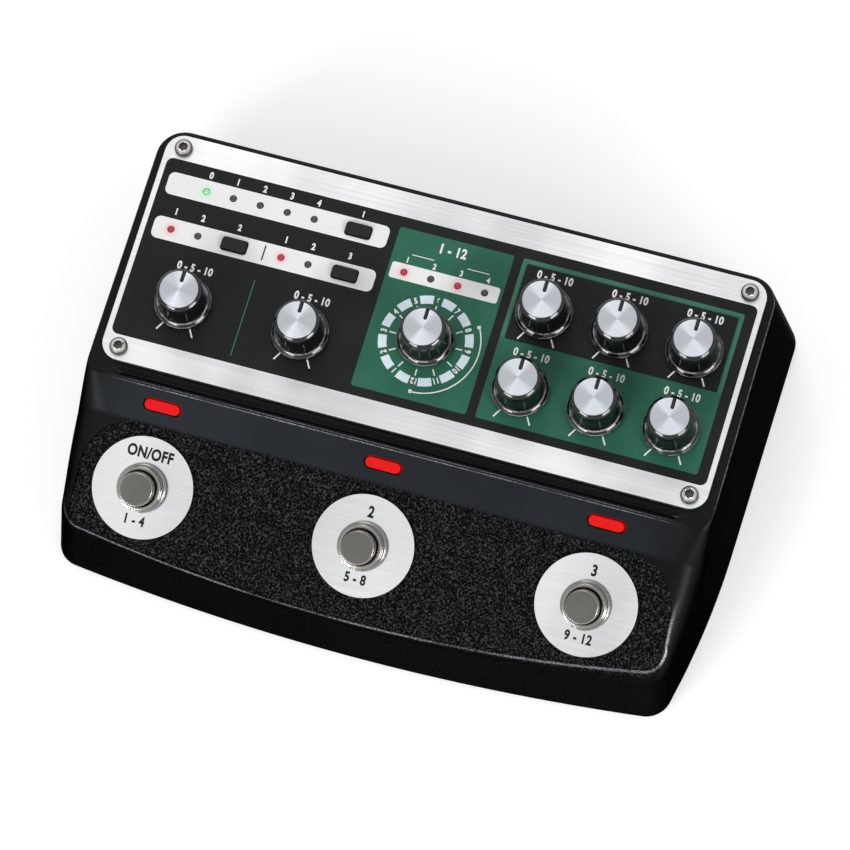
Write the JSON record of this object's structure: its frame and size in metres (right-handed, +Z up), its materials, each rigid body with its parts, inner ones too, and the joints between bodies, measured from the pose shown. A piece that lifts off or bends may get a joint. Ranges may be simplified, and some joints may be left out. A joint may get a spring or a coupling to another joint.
{
  "type": "delay pedal",
  "caption": "Wide floor effect pedal with a sloping knob panel, small buttons, foot switches and rear jacks.",
  "frame": {"origin": "on the surface that the feet stand on, under the middle of the pedal's box", "axes": "+X along the pedal to the player's right, +Y away from the player, +Z up"},
  "size_m": [0.192, 0.133, 0.058],
  "materials": {
    "enclosure": "satin blue-black paint, coarse grip texture on the deck",
    "cover": "fine textured black powder coat",
    "plate": "brushed, printed black and green",
    "board": "green glass-fibre circuit board",
    "rubber": "matt black",
    "panel_screw": "plated, domed, hexagon socket",
    "cover_screw": "blackened steel",
    "knob": "gloss black with a turned aluminium cap",
    "shaft": "plain turned",
    "switch_label": "brushed disc",
    "switch_collar": "satin nickel",
    "switch_housing": "moulded black",
    "switch_plunger": "satin nickel",
    "button": "moulded black",
    "lens": "clear red light guide",
    "jack_nut": "plated hexagon nut"
  },
  "bodies": {
    "case": {"enclosure": "enclosure", "bottom_cover": "cover", "panel_plate": "plate", "control_board": "board", "jack_board": "board", "lamp_board": "board", "rubber_foot_1": "rubber", "rubber_foot_2": "rubber", "rubber_foot_3": "rubber", "rubber_foot_4": "rubber", "panel_screw_1": "panel_screw", "panel_screw_2": "panel_screw", "panel_screw_3": "panel_screw", "panel_screw_4": "panel_screw", "cover_screw_1": "cover_screw", "cover_screw_2": "cover_screw", "cover_screw_3": "cover_screw", "cover_screw_4": "cover_screw", "switch_label_1": "switch_label", "switch_label_2": "switch_label", "switch_label_3": "switch_label", "switch_collar_1": "switch_collar", "switch_collar_2": "switch_collar", "switch_collar_3": "switch_collar", "switch_housing_1": "switch_housing", "switch_housing_2": "switch_housing", "switch_housing_3": "switch_housing", "status_lens_1": "lens", "status_lens_2": "lens", "status_lens_3": "lens", "jack_nut_1": "jack_nut", "jack_nut_2": "jack_nut", "jack_nut_3": "jack_nut", "jack_nut_4": "jack_nut", "jack_nut_5": "jack_nut"},
    "knob_drive": {"knob_drive": "knob", "shaft_drive": "shaft"},
    "knob_flutter": {"knob_flutter": "knob", "shaft_flutter": "shaft"},
    "knob_selector": {"knob_selector": "knob", "shaft_selector": "shaft"},
    "knob_bass": {"knob_bass": "knob", "shaft_bass": "shaft"},
    "knob_rate": {"knob_rate": "knob", "shaft_rate": "shaft"},
    "knob_treble": {"knob_treble": "knob", "shaft_treble": "shaft"},
    "knob_repeats": {"knob_repeats": "knob", "shaft_repeats": "shaft"},
    "knob_reverb": {"knob_reverb": "knob", "shaft_reverb": "shaft"},
    "knob_level": {"knob_level": "knob", "shaft_level": "shaft"},
    "switch_plunger_1": {"switch_plunger_1": "switch_plunger"},
    "switch_plunger_2": {"switch_plunger_2": "switch_plunger"},
    "switch_plunger_3": {"switch_plunger_3": "switch_plunger"},
    "button_memory": {"button_memory": "button"},
    "button_input": {"button_input": "button"},
    "button_tape": {"button_tape": "button"}
  },
  "joints": [
    {"name": "turn_drive", "type": "hinge", "parent": "case", "child": "knob_drive", "pos_m": [-0.0704, 0.00902, 0.04396], "axis": [0, -0.061, 0.9981], "range_deg": [-150, 150]},
    {"name": "turn_flutter", "type": "hinge", "parent": "case", "child": "knob_flutter", "pos_m": [-0.0353, 0.00902, 0.04396], "axis": [0, -0.061, 0.9981], "range_deg": [-150, 150]},
    {"name": "turn_selector", "type": "hinge", "parent": "case", "child": "knob_selector", "pos_m": [-0.0003, 0.01631, 0.04441], "axis": [0, -0.061, 0.9981], "range_deg": [-180, 150]},
    {"name": "turn_bass", "type": "hinge", "parent": "case", "child": "knob_bass", "pos_m": [0.02991, 0.03298, 0.04543], "axis": [0, -0.061, 0.9981], "range_deg": [-150, 150]},
    {"name": "turn_rate", "type": "hinge", "parent": "case", "child": "knob_rate", "pos_m": [0.02991, 0.00902, 0.04396], "axis": [0, -0.061, 0.9981], "range_deg": [-150, 150]},
    {"name": "turn_treble", "type": "hinge", "parent": "case", "child": "knob_treble", "pos_m": [0.0521, 0.03298, 0.04543], "axis": [0, -0.061, 0.9981], "range_deg": [-150, 150]},
    {"name": "turn_repeats", "type": "hinge", "parent": "case", "child": "knob_repeats", "pos_m": [0.0521, 0.00902, 0.04396], "axis": [0, -0.061, 0.9981], "range_deg": [-150, 150]},
    {"name": "turn_reverb", "type": "hinge", "parent": "case", "child": "knob_reverb", "pos_m": [0.0743, 0.03298, 0.04543], "axis": [0, -0.061, 0.9981], "range_deg": [-150, 150]},
    {"name": "turn_level", "type": "hinge", "parent": "case", "child": "knob_level", "pos_m": [0.0743, 0.00902, 0.04396], "axis": [0, -0.061, 0.9981], "range_deg": [-150, 150]},
    {"name": "press_foot_1", "type": "slide", "parent": "case", "child": "switch_plunger_1", "axis": [0, 0.4226, -0.9063], "range_m": [0, 0.0022], "stiffness_N_per_m": 3000, "springref_m": -0.001},
    {"name": "press_foot_2", "type": "slide", "parent": "case", "child": "switch_plunger_2", "axis": [0, 0.4226, -0.9063], "range_m": [0, 0.0022], "stiffness_N_per_m": 3000, "springref_m": -0.001},
    {"name": "press_foot_3", "type": "slide", "parent": "case", "child": "switch_plunger_3", "axis": [0, 0.4226, -0.9063], "range_m": [0, 0.0022], "stiffness_N_per_m": 3000, "springref_m": -0.001},
    {"name": "press_memory", "type": "slide", "parent": "case", "child": "button_memory", "axis": [0, 0.061, -0.9981], "range_m": [0, 0.0005], "stiffness_N_per_m": 2000, "springref_m": -0.0003},
    {"name": "press_input", "type": "slide", "parent": "case", "child": "button_input", "axis": [0, 0.061, -0.9981], "range_m": [0, 0.0005], "stiffness_N_per_m": 2000, "springref_m": -0.0003},
    {"name": "press_tape", "type": "slide", "parent": "case", "child": "button_tape", "axis": [0, 0.061, -0.9981], "range_m": [0, 0.0005], "stiffness_N_per_m": 2000, "springref_m": -0.0003}
  ]
}
